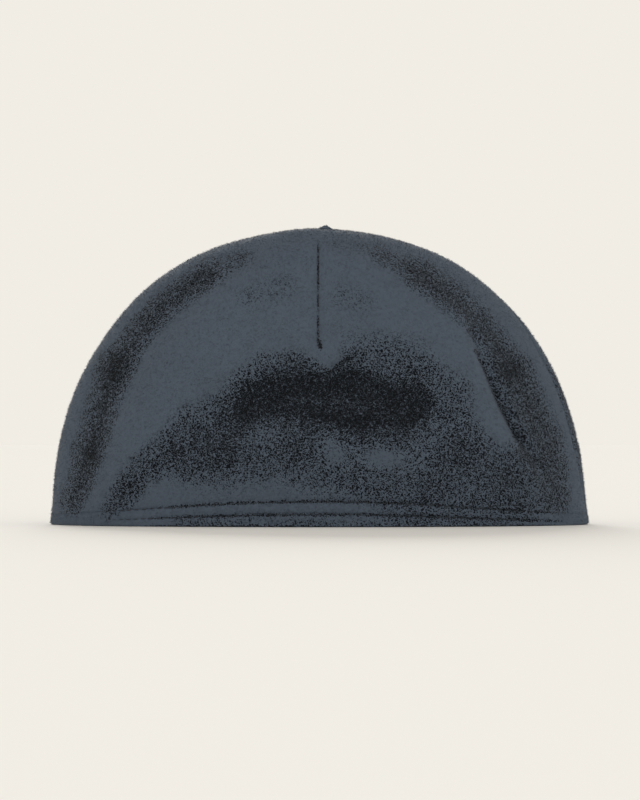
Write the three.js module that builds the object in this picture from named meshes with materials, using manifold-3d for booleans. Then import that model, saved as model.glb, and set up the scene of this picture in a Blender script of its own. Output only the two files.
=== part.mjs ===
// A low fleece beanie standing open on its rim. Two panels, front and back, each shaped by
// a short centre dart, meet in a seam that runs from side to side over the crown. Their
// lower edges are turned up inside and sewn down as a hem.
//
// Millimetres. X runs across the hat, -Y is its front and Z is up. The origin lies on the
// table, under the middle of the hat.

import * as THREE from "three";
import Module from "manifold-3d";

// Driving sizes
const hatWidth = 228; // side to side, outside, without the hem's swell
const hatDepth = 128; // front to back, outside
const crownHeight = 126.3; // table to the top of the crown, outside
const clothThickness = 2.6;
const pieceGap = 0.3; // kept between neighbouring pieces

// Squareness of the dome's outline: 2 is an ellipse, more is fuller at the shoulders
const outlinePower = 2.15;

// Hem: how much of it shows at the front and back, and at the sides, where it rolls under
const hemShowsAtFront = 10.5;
const hemShowsAtSide = 4.6;
const hemTurnUp = 14; // height of the ply that is turned up inside
const hemSwell = 1.1; // how far the doubled edge stands out of the crown
const hemChannelDepth = 0.8; // the row of stitches pulls the cloth in
const hemChannelReach = 1.8;
const hemStitchHeightAtFront = 5.1; // the lower row of stitches
const hemStitchHeightAtSide = 1.5;

// Crown seam: its edges turn in and are sewn together inside
const seamAllowanceDepth = 5.5;
const seamAllowanceThickness = 2.3;
const seamRollDepth = 1.1; // how far the cloth dips into the seam
const seamRollReach = 2.3;
const rightSeamLean = -12; // the right side seam has rolled towards the front
const leftSeamLean = 4; // and the left one a little towards the back
// The lean grows above the hem and is gone again at the shoulder, at these shares of the height
const leanGrows = { from: -0.1, to: 0.3 };
const leanFades = { from: 0.55, to: 0.83 };

// Darts: a stitched tuck from the crown seam down the middle of each panel
const dartEndHeight = 75; // table to the dart's point
const dartOffset = -0.6; // the dart lies this far from the middle
const dartAllowanceDepth = 5;
const dartAllowanceThickness = 4.4;
const dartRollDepth = 1.0;
const dartRollReach = 1.7;
const dartPointBite = 0.3; // the tuck's last point lies this far inside the cloth
const dartTaper = 0.6; // the share of its thickness that the tuck has lost at the point
const dartStations = [0, 0.06, 0.14, 0.28, 0.45, 0.62, 0.8, 1]; // shares of the way down the dart

const allowanceBite = 0.6; // how far an allowance reaches into the cloth it grows from
const allowanceInset = 0.2; // it lies this far behind the panel's own edge

// The knot of cloth where dart and crown seam cross
const crownKnotOffset = 2.4;
const crownKnotRise = 2.4;
const crownKnotReach = 3.4;

// Folds and dents in the relaxed cloth. Each follows a curve through three places seen from
// the front, given as X and Z in turn, in shares of half the width and of the height. Reach
// is a fold's half breadth as a share of the width, and rise is a share of the depth.
const folds = [
  { fold: "left ridge", on: "front", path: [-0.07, 0.92, -0.43, 0.64, -0.77, 0.09], reach: 0.075, rise: 0.027 },
  { fold: "left gutter", on: "front", path: [-0.28, 0.88, -0.7, 0.52, -0.87, 0.08], reach: 0.034, rise: -0.012 },
  { fold: "right ridge", on: "front", path: [0.1, 0.9, 0.41, 0.72, 0.59, 0.52], reach: 0.06, rise: 0.016 },
  { fold: "right gutter", on: "front", path: [0.24, 0.93, 0.65, 0.64, 0.91, 0.18], reach: 0.04, rise: -0.01 },
  { fold: "crease lip", on: "front", path: [0.5, 0.69, 0.62, 0.41, 0.78, 0.17], reach: 0.024, rise: 0.014 },
  { fold: "crease", on: "front", path: [0.56, 0.64, 0.675, 0.39, 0.81, 0.19], reach: 0.014, rise: -0.014 },
  { fold: "brow dent", on: "front", path: [-0.35, 0.38, 0.02, 0.49, 0.45, 0.38], reach: 0.058, rise: -0.025 },
  { fold: "dart pout", on: "front", path: [-0.06, 0.585, 0, 0.56, 0.07, 0.585], reach: 0.028, rise: 0.014 },
  { fold: "foot dent", on: "front", path: [-0.39, 0.42, -0.57, 0.22, -0.72, 0.06], reach: 0.03, rise: -0.01 },
  { fold: "foot swell", on: "front", path: [-0.26, 0.24, 0.03, 0.26, 0.4, 0.22], reach: 0.05, rise: 0.009 },
  { fold: "left ridge", on: "back", path: [-0.12, 0.9, -0.47, 0.62, -0.7, 0.12], reach: 0.07, rise: 0.021 },
  { fold: "right ridge", on: "back", path: [0.1, 0.92, 0.44, 0.66, 0.74, 0.1], reach: 0.075, rise: 0.023 },
  { fold: "middle dent", on: "back", path: [-0.3, 0.42, 0.04, 0.46, 0.38, 0.36], reach: 0.055, rise: -0.021 },
  { fold: "crease", on: "back", path: [-0.52, 0.66, -0.66, 0.42, -0.8, 0.18], reach: 0.016, rise: -0.012 },
];
const foldSteps = 10; // chords along each fold's curve
const foldFadeDepth = 0.3; // folds fade out over this share of the half depth, at the side seams

// The grid of a panel: columns as turns in degrees from the panel's middle, closer together
// at the dart and the seams, and rows as shares of the way from the hem to the top
const columnTurns = [0, 1.2, 2.6, 5, 9, 14, 20, 26, 32, 37, 42, 46, 50, 55, 61, 68, 75, 81, 85, 87.6, 89, 90];
const rowShares = [
  0, 0.006, 0.016, 0.04, 0.08, 0.13, 0.19, 0.25, 0.31, 0.37, 0.43, 0.49, 0.55, 0.61, 0.67, 0.74, 0.81, 0.87,
  0.92, 0.955, 0.98, 0.993, 1,
];

// The hem's section, from its lower edge up the outside and down the inside. Plies counts
// the cloth passed through and depth adds to it, in thicknesses. Share is the height within
// the named stretch.
const hemSection = [
  { plies: 0, depth: 0.6, from: "table", share: 0 },
  { plies: 0, depth: 0.1, from: "stitch row", share: 0.25 },
  { plies: 0, depth: -0.12, from: "stitch row", share: 0.6 },
  { plies: 0, depth: 0.2, from: "stitch row", share: 1 },
  { plies: 0, depth: -0.05, from: "band", share: 0.5 },
  { plies: 0, depth: 0, from: "band", share: 1 },
  { plies: 1, depth: 0, from: "band", share: 1 },
  { plies: 1, depth: 0, from: "turn-up", share: 0.4 },
  { plies: 1, depth: 0, from: "turn-up", share: 1 },
  { plies: 2, depth: 0, from: "turn-up", share: 1 },
  { plies: 2, depth: 0, from: "turn-up", share: 0.15 },
  { plies: 2, depth: -0.3, from: "table", share: 0 },
];

const fleeceColour = new THREE.Color().setRGB(0.294, 0.33, 0.365, THREE.SRGBColorSpace);
const hemColour = new THREE.Color().setRGB(0.275, 0.31, 0.345, THREE.SRGBColorSpace);
const fleece = new THREE.MeshStandardMaterial({ color: fleeceColour, roughness: 1, metalness: 0 });
const hemFleece = new THREE.MeshStandardMaterial({ color: hemColour, roughness: 1, metalness: 0 });

const halfWidth = hatWidth / 2;
const halfDepth = hatDepth / 2;
const radians = THREE.MathUtils.degToRad;
const smooth = (value, low, high) => THREE.MathUtils.smoothstep(value, low, high);
const bell = (distance, reach) => Math.exp(-((distance / reach) ** 2));

// Which way a panel faces along Y
const facing = { front: -1, back: 1 };

// A point of the crown's skin before any fold. Turn is in degrees from the front, positive
// towards +X, and level is the height as a share of the crown's.
function skinPoint(turn, level) {
  const spread = Math.max(0, 1 - level ** outlinePower) ** (1 / outlinePower);
  return new THREE.Vector3(
    halfWidth * spread * Math.sin(radians(turn)),
    -halfDepth * spread * Math.cos(radians(turn)),
    crownHeight * level,
  );
}

// The skin's outward direction, from the slope of its formula
function skinNormal(point) {
  const across = (point.x / halfWidth) ** 2 + (point.y / halfDepth) ** 2;
  const pull = across > 0 ? across ** (outlinePower / 2 - 1) : 0;
  return new THREE.Vector3(
    (pull * point.x) / halfWidth ** 2,
    (pull * point.y) / halfDepth ** 2,
    (point.z / crownHeight) ** (outlinePower - 1) / crownHeight,
  ).normalize();
}

// How far the side seam has rolled from the hat's widest line, along Y
function seamLean(level, side) {
  const most = side > 0 ? rightSeamLean : leftSeamLean;
  const grown = smooth(level, leanGrows.from, leanGrows.to);
  const faded = smooth(level, leanFades.from, leanFades.to);
  return most * grown * (1 - faded);
}

// The turn at which the side seam runs, in degrees. Side is 1 on the right, -1 on the left.
function seamTurn(level, side) {
  const spread = Math.max(1e-6, 1 - level ** outlinePower) ** (1 / outlinePower);
  const lean = THREE.MathUtils.clamp(seamLean(level, side) / (halfDepth * spread), -0.6, 0.6);
  return side * (90 + THREE.MathUtils.radToDeg(Math.asin(lean)));
}

// A panel's turn at a column. Spread runs from -1 at its left seam to 1 at its right one.
function panelTurn(panel, spread, level) {
  const side = spread < 0 ? -1 : 1;
  const seam = Math.abs(seamTurn(level, side));
  const fromFront = panel === "front" ? Math.abs(spread) * seam : 180 - Math.abs(spread) * (180 - seam);
  return side * fromFront;
}

// Points along each fold's curve, in millimetres
function foldPath({ path }) {
  const place = (i) => new THREE.Vector2(path[i] * halfWidth, path[i + 1] * crownHeight);
  const [start, middle, end] = [place(0), place(2), place(4)];
  const pull = middle.multiplyScalar(2).sub(start.clone().add(end).multiplyScalar(0.5));
  return new THREE.QuadraticBezierCurve(start, pull, end).getPoints(foldSteps);
}
const foldPaths = folds.map(foldPath);

function distanceToPath(x, z, path) {
  let nearest = Infinity;
  for (let i = 0; i + 1 < path.length; i++) {
    const alongX = path[i + 1].x - path[i].x;
    const alongZ = path[i + 1].y - path[i].y;
    const reached = ((x - path[i].x) * alongX + (z - path[i].y) * alongZ) / (alongX ** 2 + alongZ ** 2);
    const share = THREE.MathUtils.clamp(reached, 0, 1);
    nearest = Math.min(nearest, Math.hypot(x - path[i].x - share * alongX, z - path[i].y - share * alongZ));
  }
  return nearest;
}

const distanceToSeam = (point) => point.y - seamLean(point.z / crownHeight, point.x < 0 ? -1 : 1);

function foldRelief(point, panel) {
  const fade = smooth(Math.abs(distanceToSeam(point)) / halfDepth, 0, foldFadeDepth);
  let rise = 0;
  folds.forEach((fold, i) => {
    if (fold.on !== panel) return;
    rise += fold.rise * hatDepth * bell(distanceToPath(point.x, point.z, foldPaths[i]), fold.reach * hatWidth);
  });
  return rise * fade;
}

// Both rows of stitches sink towards the sides
const hemArch = (turn) => Math.abs(Math.cos(radians(turn))) ** 3;
const hemHeight = (turn) => hemShowsAtSide + (hemShowsAtFront - hemShowsAtSide) * hemArch(turn);
const hemStitchHeight = (turn) =>
  hemStitchHeightAtSide + (hemStitchHeightAtFront - hemStitchHeightAtSide) * hemArch(turn);

// The outer face's relief over the bare skin. The cloth rolls into the seam and the dart,
// and bunches where they cross.
function outerRelief(point, panel) {
  const dartHold = smooth(point.z, dartEndHeight - 2 * dartRollReach, dartEndHeight + dartRollReach);
  return (
    foldRelief(point, panel) +
    crownKnotRise * bell(Math.hypot(point.x - crownKnotOffset, point.y), crownKnotReach) -
    seamRollDepth * bell(distanceToSeam(point), seamRollReach) -
    dartRollDepth * bell(point.x - dartOffset, dartRollReach) * dartHold
  );
}

function raised(point, panel, rise) {
  const place = point.clone().addScaledVector(skinNormal(point), rise);
  place.y += (facing[panel] * pieceGap) / 2;
  return place;
}

// A point on the cloth's outer face, raised a little further by its last value
function outerPoint(panel, turn, level, extra) {
  const point = skinPoint(turn, level);
  return raised(point, panel, outerRelief(point, panel) + extra);
}

// A point inside the cloth or behind it. The rolls don't reach through to these.
function innerPoint(panel, turn, level, depth) {
  const point = skinPoint(turn, level);
  return raised(point, panel, foldRelief(point, panel) - depth);
}

const wasm = await Module();
wasm.setup();

// Points and triangles on their way to becoming a solid
class Skin {
  points = [];
  triangles = [];

  add(point) {
    this.points.push(point.x, point.y, point.z);
    return this.points.length / 3 - 1;
  }

  triangle(a, b, c) {
    if (a !== b && b !== c && c !== a) this.triangles.push(a, b, c);
  }

  quad(a, b, c, d) {
    this.triangle(a, b, c);
    this.triangle(a, c, d);
  }

  solid() {
    const mesh = new wasm.Mesh({
      numProp: 3,
      vertProperties: new Float32Array(this.points),
      triVerts: new Uint32Array(this.triangles),
    });
    const made = new wasm.Manifold(mesh);
    if (made.volume() >= 0) return made;
    for (let i = 0; i < this.triangles.length; i += 3)
      [this.triangles[i + 1], this.triangles[i + 2]] = [this.triangles[i + 2], this.triangles[i + 1]];
    return this.solid();
  }
}

// A solid through sections that have the same number of points, with a cap at each end.
// Outline gives the section as flat points, for cutting the caps into triangles.
function loft(sections, outline) {
  const skin = new Skin();
  const rings = sections.map((section) => section.map((point) => skin.add(point)));
  const size = outline.length;
  for (let i = 0; i + 1 < rings.length; i++)
    for (let j = 0; j < size; j++) {
      const next = (j + 1) % size;
      skin.quad(rings[i][j], rings[i + 1][j], rings[i + 1][next], rings[i][next]);
    }
  const turnsLeft = !THREE.ShapeUtils.isClockWise(outline);
  const last = rings[rings.length - 1];
  for (const [a, b, c] of THREE.ShapeUtils.triangulateShape(outline, [])) {
    const [p, q] = turnsLeft ? [b, c] : [c, b];
    skin.triangle(rings[0][a], rings[0][p], rings[0][q]);
    skin.triangle(last[a], last[q], last[p]);
  }
  return skin.solid();
}

// The columns across a whole panel, from -1 at its left seam to 1 at its right one
const rightSpreads = columnTurns.map((turn) => turn / 90);
const leftSpreads = rightSpreads.slice(1).reverse().map((spread) => -spread);
const spreads = [...leftSpreads, ...rightSpreads];

// The level of a row of the panel's grid, in the column that meets the hem at a turn
function rowLevel(share, turn) {
  const start = Math.asin(((hemHeight(turn) + pieceGap) / crownHeight) ** (outlinePower / 2));
  return Math.sin(start + share * (Math.PI / 2 - start)) ** (2 / outlinePower);
}

// The upper row of stitches pulls the outer face of the cloth in, on the panel and the hem
const hemChannel = (height, turn) => hemChannelDepth * bell(height - hemHeight(turn), hemChannelReach);

// The curved sheet of cloth of one panel, from the hem to the top of the crown
function panelSheet(panel) {
  const skin = new Skin();
  const lastRow = rowShares.length - 1;
  const lastColumn = spreads.length - 1;
  const gridOf = (pointAt) => {
    const top = skin.add(pointAt(0, 1, 0));
    return rowShares.map((share, row) =>
      spreads.map((spread) => {
        if (row === lastRow) return top;
        const foot = panelTurn(panel, spread, 0);
        const level = rowLevel(share, foot);
        return skin.add(pointAt(panelTurn(panel, spread, level), level, foot));
      }),
    );
  };
  const outer = gridOf((turn, level, foot) =>
    outerPoint(panel, turn, level, -hemChannel(level * crownHeight, foot)),
  );
  const inner = gridOf((turn, level) => innerPoint(panel, turn, level, clothThickness));
  for (let row = 0; row < lastRow; row++) {
    const [low, high] = [outer[row], outer[row + 1]];
    const [lowInside, highInside] = [inner[row], inner[row + 1]];
    for (let column = 0; column < lastColumn; column++) {
      const next = column + 1;
      skin.quad(low[column], low[next], high[next], high[column]);
      skin.quad(lowInside[column], highInside[column], highInside[next], lowInside[next]);
    }
    skin.quad(lowInside[0], low[0], high[0], highInside[0]);
    skin.quad(low[lastColumn], lowInside[lastColumn], highInside[lastColumn], high[lastColumn]);
  }
  for (let column = 0; column < lastColumn; column++)
    skin.quad(outer[0][column], inner[0][column], inner[0][column + 1], outer[0][column + 1]);
  return skin.solid();
}

const squareOutline = [
  new THREE.Vector2(0, 0),
  new THREE.Vector2(1, 0),
  new THREE.Vector2(1, 1),
  new THREE.Vector2(0, 1),
];

// The panel's edge, turned in along the crown seam from the left hem over the top
function seamAllowance(panel) {
  const lowest = (hemTurnUp + 2 * pieceGap) / crownHeight;
  const climb = rowShares.map((share) => rowLevel(share, 90)).filter((level) => level > lowest);
  const stations = [
    ...climb.map((level) => ({ level, side: -1 })),
    ...climb.slice(0, -1).reverse().map((level) => ({ level, side: 1 })),
  ];
  const shallow = clothThickness - allowanceBite;
  const deep = clothThickness + seamAllowanceDepth;
  const sections = stations.map(({ level, side }) => {
    const corner = (depth, fromEdge) => {
      const place = innerPoint(panel, seamTurn(level, side), level, depth);
      place.y += facing[panel] * fromEdge;
      return place;
    };
    return [
      corner(shallow, allowanceInset),
      corner(shallow, seamAllowanceThickness),
      corner(deep, seamAllowanceThickness),
      corner(deep, allowanceInset),
    ];
  });
  return loft(sections, squareOutline);
}

// The dart's tuck, standing inside the panel and running out at the dart's point
function dartAllowance(panel) {
  const middleTurn = panel === "front" ? 0 : 180;
  const topHeight = crownHeight - allowanceInset;
  const shallow = clothThickness - allowanceBite;
  const sections = dartStations.map((share) => {
    const level = (topHeight - share * (topHeight - dartEndHeight)) / crownHeight;
    const deep = clothThickness + dartAllowanceDepth * (1 - share ** 2) - dartPointBite * share ** 2;
    const half = (dartAllowanceThickness / 2) * (1 - dartTaper * share);
    const corner = (depth, across) => {
      const place = innerPoint(panel, middleTurn, level, depth);
      place.x += dartOffset + across;
      return place;
    };
    return [corner(shallow, -half), corner(shallow, half), corner(deep, half), corner(deep, -half)];
  });
  return loft(sections, squareOutline);
}

// One half of the hem, from the left side seam to the right one
function hemHalf(panel) {
  const sectionAt = (spread) => {
    const foot = panelTurn(panel, spread, 0);
    const stitch = hemStitchHeight(foot);
    const band = hemHeight(foot);
    const heights = {
      table: () => 0,
      "stitch row": (share) => stitch * share,
      band: (share) => stitch + (band - stitch) * share,
      "turn-up": (share) => band + (hemTurnUp - band) * share,
    };
    return hemSection.map(({ plies, depth, from, share }) => {
      const height = heights[from](share);
      const level = height / crownHeight;
      const turn = panelTurn(panel, spread, level);
      const under = depth * clothThickness;
      const swell = hemSwell * (1 - smooth(height, stitch, band));
      if (plies === 0) return outerPoint(panel, turn, level, swell - hemChannel(height, foot) - under);
      const passed = plies === 1 ? clothThickness + pieceGap : 2 * clothThickness + pieceGap;
      return innerPoint(panel, turn, level, passed + under);
    });
  };
  const sections = spreads.map(sectionAt);
  const outline = sections[0].map((point) => new THREE.Vector2(point.x, point.z));
  return loft(sections, outline);
}

function meshOf(name, solid, material) {
  const { vertProperties, triVerts } = solid.getMesh();
  const geometry = new THREE.BufferGeometry();
  geometry.setAttribute("position", new THREE.BufferAttribute(new Float32Array(vertProperties), 3));
  geometry.setIndex(new THREE.BufferAttribute(new Uint32Array(triVerts), 1));
  geometry.computeVertexNormals();
  const mesh = new THREE.Mesh(geometry, material);
  mesh.name = name;
  return mesh;
}

const beanie = new THREE.Group();
for (const panel of ["front", "back"]) {
  const cloth = panelSheet(panel).add(seamAllowance(panel)).add(dartAllowance(panel));
  beanie.add(meshOf(`${panel}_panel`, cloth, fleece));
  beanie.add(meshOf(`${panel}_hem`, hemHalf(panel), hemFleece));
}

export default beanie;
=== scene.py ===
import math

import bmesh
import bpy
import numpy as np
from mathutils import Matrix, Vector


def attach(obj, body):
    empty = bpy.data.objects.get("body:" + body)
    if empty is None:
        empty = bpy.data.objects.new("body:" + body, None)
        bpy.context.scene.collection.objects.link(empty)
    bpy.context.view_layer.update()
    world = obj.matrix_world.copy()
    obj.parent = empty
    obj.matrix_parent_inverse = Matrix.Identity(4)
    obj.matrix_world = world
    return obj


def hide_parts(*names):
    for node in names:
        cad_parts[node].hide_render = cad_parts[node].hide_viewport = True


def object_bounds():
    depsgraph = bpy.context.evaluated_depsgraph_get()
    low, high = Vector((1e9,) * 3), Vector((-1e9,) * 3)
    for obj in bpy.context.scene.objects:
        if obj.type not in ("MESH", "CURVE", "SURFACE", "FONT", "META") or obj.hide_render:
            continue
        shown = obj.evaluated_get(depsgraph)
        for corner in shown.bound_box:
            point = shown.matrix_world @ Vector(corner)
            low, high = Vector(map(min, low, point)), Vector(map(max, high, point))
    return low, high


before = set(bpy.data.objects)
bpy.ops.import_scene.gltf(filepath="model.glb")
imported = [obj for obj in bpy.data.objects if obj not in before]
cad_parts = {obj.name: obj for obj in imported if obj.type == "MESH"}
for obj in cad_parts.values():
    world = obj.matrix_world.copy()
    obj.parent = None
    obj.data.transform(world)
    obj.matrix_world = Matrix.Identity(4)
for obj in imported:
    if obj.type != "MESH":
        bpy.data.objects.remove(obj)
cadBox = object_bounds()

# A low fleece beanie standing open on its rim: two darted panels, a crown seam from side to
# side, and a hem turned up inside and sewn with a twin needle. Lengths are millimetres of
# the pattern, and mm turns them into the frame's metres.

hat = {
    "width": 230.3,  # over the hem, side to side: the frame's width sets the scale
    "crownWidth": 228,
    "crownDepth": 128,
    "crownHeight": 125.7,
    "power": 2.2,  # squareness of the dome's outline
    "cloth": 2.6,
    "gap": 0.12,  # between the panels at the crown seam
    "rooted": 0.6,  # how deep in the cloth its turned-in edges start
}
mm = (cadBox[1].x - cadBox[0].x) / hat["width"]
halfWidth = hat["crownWidth"] / 2
halfDepth = hat["crownDepth"] / 2
facing = {"front": -1, "back": 1}


def smoothStep(value, low, high):
    share = np.clip((value - low) / (high - low), 0, 1)
    return share * share * (3 - 2 * share)


def between(value, appears, whole, fades, gone):  # 1 from whole to fades, 0 before appears and after gone
    return smoothStep(value, appears, whole) * (1 - smoothStep(value, fades, gone))


def bell(distance, reach):
    return np.exp(-((distance / reach) ** 2))


def unit(vectors):
    return vectors / np.maximum(np.linalg.norm(vectors, axis=-1, keepdims=True), 1e-12)


# The crown's shape: seam, darts, hem and folds as sewn

seam = {
    "rightLean": -12,  # how far the side seam has rolled to the front, at its most
    "leftLean": 4,
    "leanGrows": (-0.1, 0.3),  # shares of the height
    "leanFades": (0.55, 0.83),
    "mostLean": 0.6,  # as a share of the depth at its height
    "rollDepth": 1.3,
    "rollReach": 1.9,
    "seamShade": 0.36,  # painted shade on the back panel, in a band behind the right side seam
    "seamShadeAt": 5,
    "seamShadeReach": 5.5,
    "seamShadeHeights": (0.12, 0.25, 0.5, 0.66),  # shares of the height where the band appears and fades
    "allowance": 5.5,  # depth of the edges turned in
    "allowanceThickness": 2.3,
    "allowanceInset": 0.2,
    "allowanceRound": 0.5,
    "allowanceThins": 0.3,
    "allowanceNap": 0.6,
    "startsAbove": 1,  # above the turned-up ply
    "stations": 110,  # up each side
    "wave": 0.35,  # the free edges ripple
    "waveStep": 0.9,
}
dart = {
    "offset": -0.6,
    "endHeight": 75,
    "deepens": (-1, 2),  # above its end
    "rollDepth": 0.9,
    "rollReach": 2.0,
    "slitDepth": 0.6,  # the sewn line, sharper than the roll beside it
    "slitReach": 0.4,
    "fadesAt": (114.6, 119.1),  # closed over by the pile near the crown seam
    "tuckDepth": 5,
    "tuckThickness": 4.4,
    "tuckTaper": 0.6,
    "tuckTop": 0.2,  # below the crown
    "tuckSet": 0.3,  # set up into the cloth
    "tuckCorners": ((None, -1), (None, 1), (0.55, 1), (1, 0.45), (1, -0.45), (0.55, -1)),
    "tuckStations": 34,
}
knot = {"offset": 2.5, "forward": 1.7, "rise": 2.75, "reach": 3.1}  # where dart and crown seam cross
hem = {
    "showsFront": 10.5,
    "showsSide": 4.6,
    "turnUp": 14,
    "flare": 1.1,  # the rim stands out, less and less up to about flareReach
    "flareReach": 6,
    "flarePower": 1.5,
    "channelDepth": 0.9,  # the stitch rows pull the cloth in
    "channelReach": 1.2,
    "lowerReach": 0.75,  # the lower row's, as a share of that
    "stitchFront": 5.1,
    "stitchSide": 1.5,
    "archPower": 3,  # how late the rows sink towards the sides
    "napAndShade": 0.72,  # share of the panels' raised pile and painted shade left below the stitching
    "edgeRound": 0.7,
    "edgeDepth": 0.45,
    "edgeSmooth": 1.2,  # no lumps at the rim, and all of them this far above it
    "threadLift": 0.1,  # how far the stitches stand out at the front
    "threadSinks": 0.5,  # and how much deeper they lie in the pile at the sides
    "threadSinksAt": (0.12, 0.4),  # shares of the rows' arch
}

# Folds of the relaxed cloth: X and Z of three places on each, in shares of half the width
# and of the height, then reach as a share of the width and rise as a share of the depth
folds = [
    ("front", (-0.07, 0.92), (-0.43, 0.64), (-0.77, 0.09), 0.075, 0.027),
    ("front", (-0.28, 0.88), (-0.7, 0.52), (-0.87, 0.08), 0.034, -0.012),
    ("front", (0.1, 0.9), (0.41, 0.72), (0.59, 0.52), 0.06, 0.016),
    ("front", (0.24, 0.93), (0.65, 0.64), (0.91, 0.18), 0.04, -0.01),
    ("front", (0.5, 0.69), (0.62, 0.41), (0.78, 0.17), 0.024, 0.014),
    ("front", (0.56, 0.64), (0.675, 0.39), (0.81, 0.19), 0.014, -0.014),
    ("front", (-0.35, 0.38), (0.02, 0.49), (0.45, 0.38), 0.058, -0.025),
    ("front", (-0.06, 0.585), (0, 0.56), (0.07, 0.585), 0.028, 0.014),
    ("front", (-0.39, 0.42), (-0.57, 0.22), (-0.72, 0.06), 0.03, -0.01),
    ("front", (-0.26, 0.24), (0.03, 0.26), (0.4, 0.22), 0.05, 0.009),
    ("back", (-0.12, 0.9), (-0.47, 0.62), (-0.7, 0.12), 0.07, 0.021),
    ("back", (0.1, 0.92), (0.44, 0.66), (0.74, 0.1), 0.075, 0.023),
    ("back", (-0.3, 0.42), (0.04, 0.46), (0.38, 0.36), 0.055, -0.021),
    ("back", (-0.52, 0.66), (-0.66, 0.42), (-0.8, 0.18), 0.016, -0.012),
    # finer creases, too small for the solids
    ("front", (0.59, 0.56), (0.655, 0.435), (0.74, 0.29), 0.007, -0.013),
    ("front", (0.03, 0.515), (0.06, 0.535), (0.095, 0.555), 0.006, -0.007),
    ("front", (0.02, 0.53), (0.045, 0.55), (0.075, 0.575), 0.006, 0.006),
]
foldFade = 0.3  # folds fade out over this share of the half depth, at the side seams

# Painted shade in the folds, gutters and dents, dark between the tufts, where the pile also stands up:
# strength, reach in millimetres, and places along the band as shares of half the width and of the height
raisedNapAndShade = {
    "front": [
        (0.26, 6, [(-0.28, 0.89), (-0.4, 0.85)]),
        (0.54, 6.5, [(-0.42, 0.83), (-0.56, 0.75), (-0.66, 0.66), (-0.755, 0.53)]),
        (0.56, 8, [(-0.76, 0.52), (-0.8, 0.4), (-0.835, 0.27)]),
        (0.56, 7, [(-0.85, 0.22), (-0.865, 0.15), (-0.9, 0.08)]),
        (0.72, 9, [(-0.24, 0.45), (-0.1, 0.475), (0.1, 0.48), (0.24, 0.455), (0.36, 0.42)]),
        (0.66, 9.5, [(-0.25, 0.38), (-0.08, 0.375), (0.1, 0.36), (0.33, 0.375)]),
        (0.5, 6, [(0, 0.47), (0.12, 0.48)]),
        (0.28, 7, [(0.13, 0.55), (0.22, 0.57), (0.36, 0.53)]),
        (0.25, 7, [(-0.2, 0.54), (-0.1, 0.54)]),
        (0.26, 8.5, [(0.42, 0.49), (0.51, 0.45)]),
        (0.49, 10, [(-0.345, 0.37), (-0.36, 0.31), (-0.39, 0.22)]),
        (0.18, 8, [(-0.48, 0.36), (-0.5, 0.3)]),
        (0.3, 8, [(-0.47, 0.3), (-0.5, 0.2)]),
        (0.44, 7, [(-0.55, 0.25), (-0.65, 0.18), (-0.7, 0.12)]),
        (0.34, 5, [(-0.71, 0.12), (-0.765, 0.045)]),
        (0.4, 11, [(-0.28, 0.23), (-0.15, 0.23), (-0.04, 0.22)]),
        (0.35, 8, [(-0.1, 0.29), (0.05, 0.32), (0.3, 0.29)]),
        (0.1, 9, [(-0.5, 0.05), (-0.3, 0.06), (0, 0.07)]),
        (0.3, 10, [(0.08, 0.17), (0.2, 0.12), (0.35, 0.06)]),
        (0.2, 9, [(0.14, 0.2), (0.26, 0.17), (0.4, 0.17)]),
        (0.12, 8, [(0.4, 0.28), (0.46, 0.2)]),
        (0.4, 9, [(0.48, 0.24), (0.56, 0.21), (0.66, 0.17)]),
        (0.34, 10, [(0.42, 0.11), (0.58, 0.07), (0.72, 0.05)]),
        (0.34, 8.5, [(0.5, 0.36), (0.56, 0.28)]),
        (0.26, 6, [(0.24, 0.89), (0.34, 0.86)]),
        (0.53, 8, [(0.38, 0.835), (0.48, 0.775), (0.565, 0.7), (0.63, 0.62), (0.69, 0.54)]),
        (0.4, 6.5, [(0.67, 0.49), (0.7, 0.43), (0.735, 0.36), (0.765, 0.3), (0.79, 0.2)]),
        (0.48, 7, [(0.74, 0.51), (0.785, 0.43), (0.82, 0.36), (0.85, 0.3), (0.875, 0.18), (0.875, 0.09)]),
        (0.22, 9, [(0.7, 0.22), (0.74, 0.1)]),
        (0.18, 8, [(-0.26, 0.75), (-0.12, 0.79)]),
        (0.19, 7, [(0.08, 0.765), (0.16, 0.75)]),
        (0.18, 6, [(0.05, 0.93), (0.22, 0.92)]),
        (0.13, 8, [(0.06, 0.645), (0.2, 0.63), (0.36, 0.62)]),
        (0.3, 5, [(-0.5, 0), (0.1, 0), (0.6, 0)]),
    ],
    "back": [
        (0.4, 7, [(-0.3, 0.88), (-0.44, 0.82), (-0.54, 0.76)]),
        (0.5, 8, [(-0.54, 0.76), (-0.72, 0.55), (-0.8, 0.35)]),
        (0.46, 9.5, [(-0.8, 0.35), (-0.86, 0.2), (-0.9, 0.06)]),
        (0.6, 9, [(-0.3, 0.36), (-0.14, 0.42), (0.04, 0.45), (0.19, 0.42), (0.32, 0.34)]),
        (0.5, 11, [(-0.22, 0.33), (0.02, 0.38), (0.2, 0.35)]),
        (0.3, 8, [(-0.3, 0.5), (-0.12, 0.53)]),
        (0.46, 11, [(0.38, 0.32), (0.52, 0.24), (0.66, 0.1)]),
        (0.4, 12, [(-0.4, 0.28), (-0.5, 0.14), (-0.6, 0.06)]),
        (0.35, 12, [(-0.2, 0.14), (0.1, 0.17), (0.3, 0.08)]),
        (0.3, 7, [(0.22, 0.9), (0.36, 0.85)]),
        (0.48, 8, [(0.36, 0.85), (0.56, 0.73), (0.7, 0.56), (0.78, 0.4)]),
        (0.46, 10, [(0.78, 0.4), (0.86, 0.22), (0.9, 0.06)]),
        (0.13, 9, [(-0.2, 0.76), (-0.06, 0.8)]),
        (0.12, 9, [(0.1, 0.75), (0.22, 0.78)]),
        (0.3, 5, [(-0.6, 0), (0, 0), (0.5, 0)]),
    ],
}
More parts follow.
